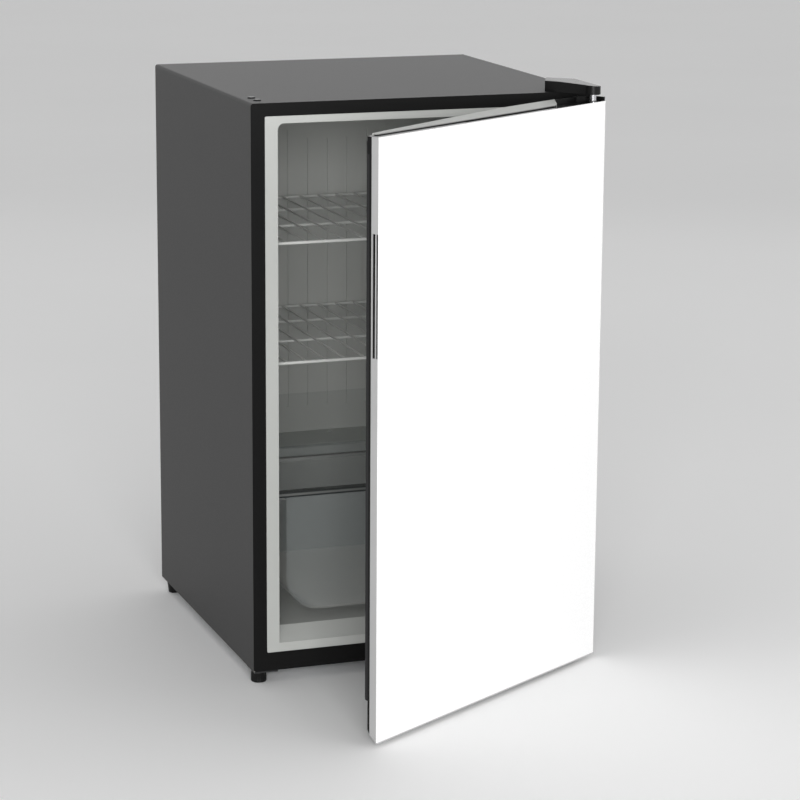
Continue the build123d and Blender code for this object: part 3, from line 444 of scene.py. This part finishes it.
def levelling_foot(node):
    """A fluted pad with round edges on a threaded stud."""
    low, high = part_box(node)
    centre = Vector(((low.x + high.x) / 2, (low.y + high.y) / 2, 0))
    pad = (high.x - low.x) / 2
    profile = [(pad - inset * MM, height * MM) for inset, height in PAD_PROFILE]
    profile.append((STUD_RADIUS, PAD_TOP))
    for n in range(THREAD_LEVELS):
        height = PAD_TOP + (high.z - PAD_TOP) * (n + 0.5) / THREAD_LEVELS
        profile.append((STUD_RADIUS if n % 2 else STUD_RADIUS - THREAD_DEPTH, height))
    profile.append((STUD_RADIUS - STUD_CHAMFER, high.z))
    work = bmesh.new()
    add_lathe(work, profile, centre, sides=4 * FLUTES, flutes=FLUTES, flute_depth=FLUTE_DEPTH, fluted=FLUTED)
    return piece_of(work, node + "_turned", node)


SCREW_HEAD = 4 * MM
SCREW_TALL = 2 * MM
SCREW_X = 236 * MM
SCREW_SPOTS_Z = (230 * MM, 420 * MM, 610 * MM, 800 * MM)
HEAD_PROFILE = (
    (1, 0), (1, 0.35), (0.93, 0.62), (0.8, 0.82), (0.6, 0.95), (0.5, 0.98), (0.38, 1), (0.26, 1), (0.13, 1),
)
HEAD_SIDES = 48
CROSS_REACH = 0.6
CROSS_WIDTH = 0.13
CROSS_DEPTH = 0.5


def add_cross_head(work, foot):
    """A pan head facing +Y with a cross recess, its foot on a sheet."""
    rings = []
    for part, rise in HEAD_PROFILE:
        ring = []
        for n in range(HEAD_SIDES):
            turn = 2 * math.pi * n / HEAD_SIDES
            x, z = part * math.cos(turn), part * math.sin(turn)
            sunk = part <= CROSS_REACH and min(abs(x), abs(z)) <= CROSS_WIDTH
            lift = (rise - CROSS_DEPTH if sunk else rise) * SCREW_TALL
            ring.append(work.verts.new(foot + Vector((x * SCREW_HEAD, lift, z * SCREW_HEAD))))
        rings.append(ring)
    for near, far in zip(rings, rings[1:]):
        for n in range(HEAD_SIDES):
            m = (n + 1) % HEAD_SIDES
            work.faces.new((near[n], near[m], far[m], far[n]))
    work.faces.new(rings[0])
    work.faces.new(rings[-1])


def panel_screws(node):
    """The cross-head screws down both sides of the back panel."""
    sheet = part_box("back_panel")[1].y
    work = bmesh.new()
    for x in (-SCREW_X, SCREW_X):
        for z in SCREW_SPOTS_Z:
            add_cross_head(work, Vector((x, sheet, z)))
    return piece_of(work, node + "_heads", node)


CAN_PROFILE = (
    (0, 32), (30, 32), (41, 36), (48, 46), (51.5, 60), (52, 75), (52, 85), (54, 86), (54, 90), (52, 91),
    (52, 105), (51.5, 116), (48, 130), (41, 140), (30, 147), (16, 151), (0, 153),
)
POLE_RADIUS = 0.5  # the can's poles are closed by a small disc
CAN_SIDES = 72
BASE_X = 80 * MM
BASE_Y = 42 * MM
BASE_LOW = 30 * MM
BASE_THICK = 2.5 * MM
BASE_CORNER = 10 * MM
PLATE_EDGE = 0.2  # the round on a plate's edges, as a part of its thickness


def round_corners(half_x, half_y, corner, steps=6):
    """The outline of a rectangle with round corners, anticlockwise."""
    points = []
    for sign_x, sign_y, first in ((1, 1, 0), (-1, 1, 90), (-1, -1, 180), (1, -1, 270)):
        for step in range(steps + 1):
            turn = math.radians(first + 90 * step / steps)
            x = sign_x * (half_x - corner) + corner * math.cos(turn)
            y = sign_y * (half_y - corner) + corner * math.sin(turn)
            points.append((x, y))
    return points


def add_plate(work, outline, centre, thick):
    """A flat plate with a small round on its edges."""
    edge = PLATE_EDGE * thick
    levels = ((edge, 0), (0, edge), (0, thick - edge), (edge, thick))
    rings = []
    for inset, height in levels:
        ring = []
        for x, y in outline:
            reach = math.hypot(x, y)
            scale = 1 - inset / reach
            ring.append(work.verts.new(centre + Vector((x * scale, y * scale, height))))
        rings.append(ring)
    count = len(outline)
    for near, far in zip(rings, rings[1:]):
        for n in range(count):
            m = (n + 1) % count
            work.faces.new((near[n], near[m], far[m], far[n]))
    work.faces.new(rings[0])
    work.faces.new(rings[-1])


def compressor_can(node):
    """The domed can with its welded seam, on a base plate."""
    low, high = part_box(node)
    near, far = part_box("compressor_bolts")
    centre = Vector(((low.x + high.x) / 2, (near.y + far.y) / 2, 0))
    work = bmesh.new()
    profile = [(max(radius, POLE_RADIUS) * MM, height * MM) for radius, height in CAN_PROFILE]
    add_lathe(work, profile, centre, sides=CAN_SIDES)
    outline = round_corners(BASE_X, BASE_Y, BASE_CORNER)
    add_plate(work, outline, centre + Vector((0, 0, BASE_LOW)), BASE_THICK)
    return piece_of(work, node + "_turned", node)


for shelf in ("wire_shelf_upper", "wire_shelf_lower"):
    wire_shelf(shelf)
for foot in ("front_left_foot", "front_right_foot"):
    levelling_foot(foot)
panel_screws("back_panel_screws")
compressor_can("compressor")

# ---------------------------------------------------------------- floor, light and camera

FLOOR_HALF = 14.0
HORIZON_LIGHT = 1.3
OVERHEAD_LIGHT = 0.5
LEFT_LIGHT = 0.45  # part of the light that comes from the left


def studio_floor():
    """A plain pale floor that the object stands on."""
    mesh = bpy.data.meshes.new("floor")
    work = bmesh.new()
    bmesh.ops.create_grid(work, x_segments=1, y_segments=1, size=FLOOR_HALF)
    work.to_mesh(mesh)
    work.free()
    floor = bpy.data.objects.new("floor", mesh)
    bpy.context.scene.collection.objects.link(floor)
    pale = finish(
        "studio_floor", (0.98, 0.98, 0.98), shade=0.01, rough=(0.7, 0.8), cloud=1.0, grain=200, bump=0.02,
    )
    mesh.materials.append(pale)
    return floor


def lamp(name, place, aim, size, power):
    """A soft rectangular studio lamp."""
    data = bpy.data.lights.new(name, "AREA")
    data.shape = "RECTANGLE"
    data.size, data.size_y = size
    data.energy = power
    lamp_object = bpy.data.objects.new(name, data)
    lamp_object.location = place
    lamp_object.rotation_mode = "QUATERNION"
    lamp_object.rotation_quaternion = (Vector(aim) - Vector(place)).to_track_quat("-Z", "Y")
    bpy.context.scene.collection.objects.link(lamp_object)
    return lamp_object


def graded(nodes, links, source, low, high, dim, bright):
    """A direction's part along one axis turned into a brightness."""
    level = nodes.new("ShaderNodeMapRange")
    level.inputs["From Min"].default_value = low
    level.inputs["From Max"].default_value = high
    level.inputs["To Min"].default_value = dim
    level.inputs["To Max"].default_value = bright
    links.new(source, level.inputs["Value"])
    return level.outputs["Result"]


def studio():
    """White surroundings, dimmer overhead and on the left, with soft lamps in front and one behind."""
    world = bpy.data.worlds.new("studio")
    bpy.context.scene.world = world
    world.use_nodes = True
    nodes, links = world.node_tree.nodes, world.node_tree.links
    place = nodes.new("ShaderNodeTexCoord")
    axes = nodes.new("ShaderNodeSeparateXYZ")
    both = nodes.new("ShaderNodeMath")
    both.operation = "MULTIPLY"
    links.new(place.outputs["Generated"], axes.inputs["Vector"])
    upward = graded(nodes, links, axes.outputs["Z"], 0.1, 0.7, HORIZON_LIGHT, OVERHEAD_LIGHT)
    rightward = graded(nodes, links, axes.outputs["X"], -1.0, 0.1, LEFT_LIGHT, 1.0)
    links.new(upward, both.inputs[0])
    links.new(rightward, both.inputs[1])
    links.new(both.outputs["Value"], nodes["Background"].inputs["Strength"])
    nodes["Background"].inputs["Color"].default_value = (0.97, 0.97, 0.97, 1)
    lamp("key", (-1.3, -4.4, 1.35), (0, -0.1, 0.45), (2.0, 1.6), 112)
    lamp("side", (2.6, -3.0, 1.6), (0.1, -0.2, 0.45), (1.8, 1.8), 10)
    lamp("back", (1.3, 3.4, 1.9), (0, 0.1, 0.8), (3.0, 1.4), 4)


CAMERA_FROM_CORNER = Vector((-1.08873, -3.61552, 1.27217))  # from the cabinet's lower left front corner
YAW = math.radians(19.834)
PITCH = math.radians(13.112)
ROLL = math.radians(0.37)
SENSOR = 36
LENS = 126.97


def studio_camera():
    """The camera, placed from the cabinet's front left corner and aimed by three angles."""
    place = Vector((WRAP_LOW.x, FRONT_Y, WRAP_LOW.z)) + CAMERA_FROM_CORNER
    ahead = Vector((math.sin(YAW) * math.cos(PITCH), math.cos(YAW) * math.cos(PITCH), -math.sin(PITCH)))
    level = ahead.cross(Vector((0, 0, 1))).normalized()
    above = level.cross(ahead)
    right = math.cos(ROLL) * level + math.sin(ROLL) * above
    up = -math.sin(ROLL) * level + math.cos(ROLL) * above
    turn = Matrix((right, up, -ahead)).transposed()
    data = bpy.data.cameras.new("camera")
    data.sensor_width = SENSOR
    data.lens = LENS
    camera = bpy.data.objects.new("camera", data)
    camera.matrix_world = Matrix.Translation(place) @ turn.to_4x4()
    bpy.context.scene.collection.objects.link(camera)
    bpy.context.scene.camera = camera


studio_floor()
studio()
studio_camera()
bpy.context.scene.view_settings.view_transform = "Standard"
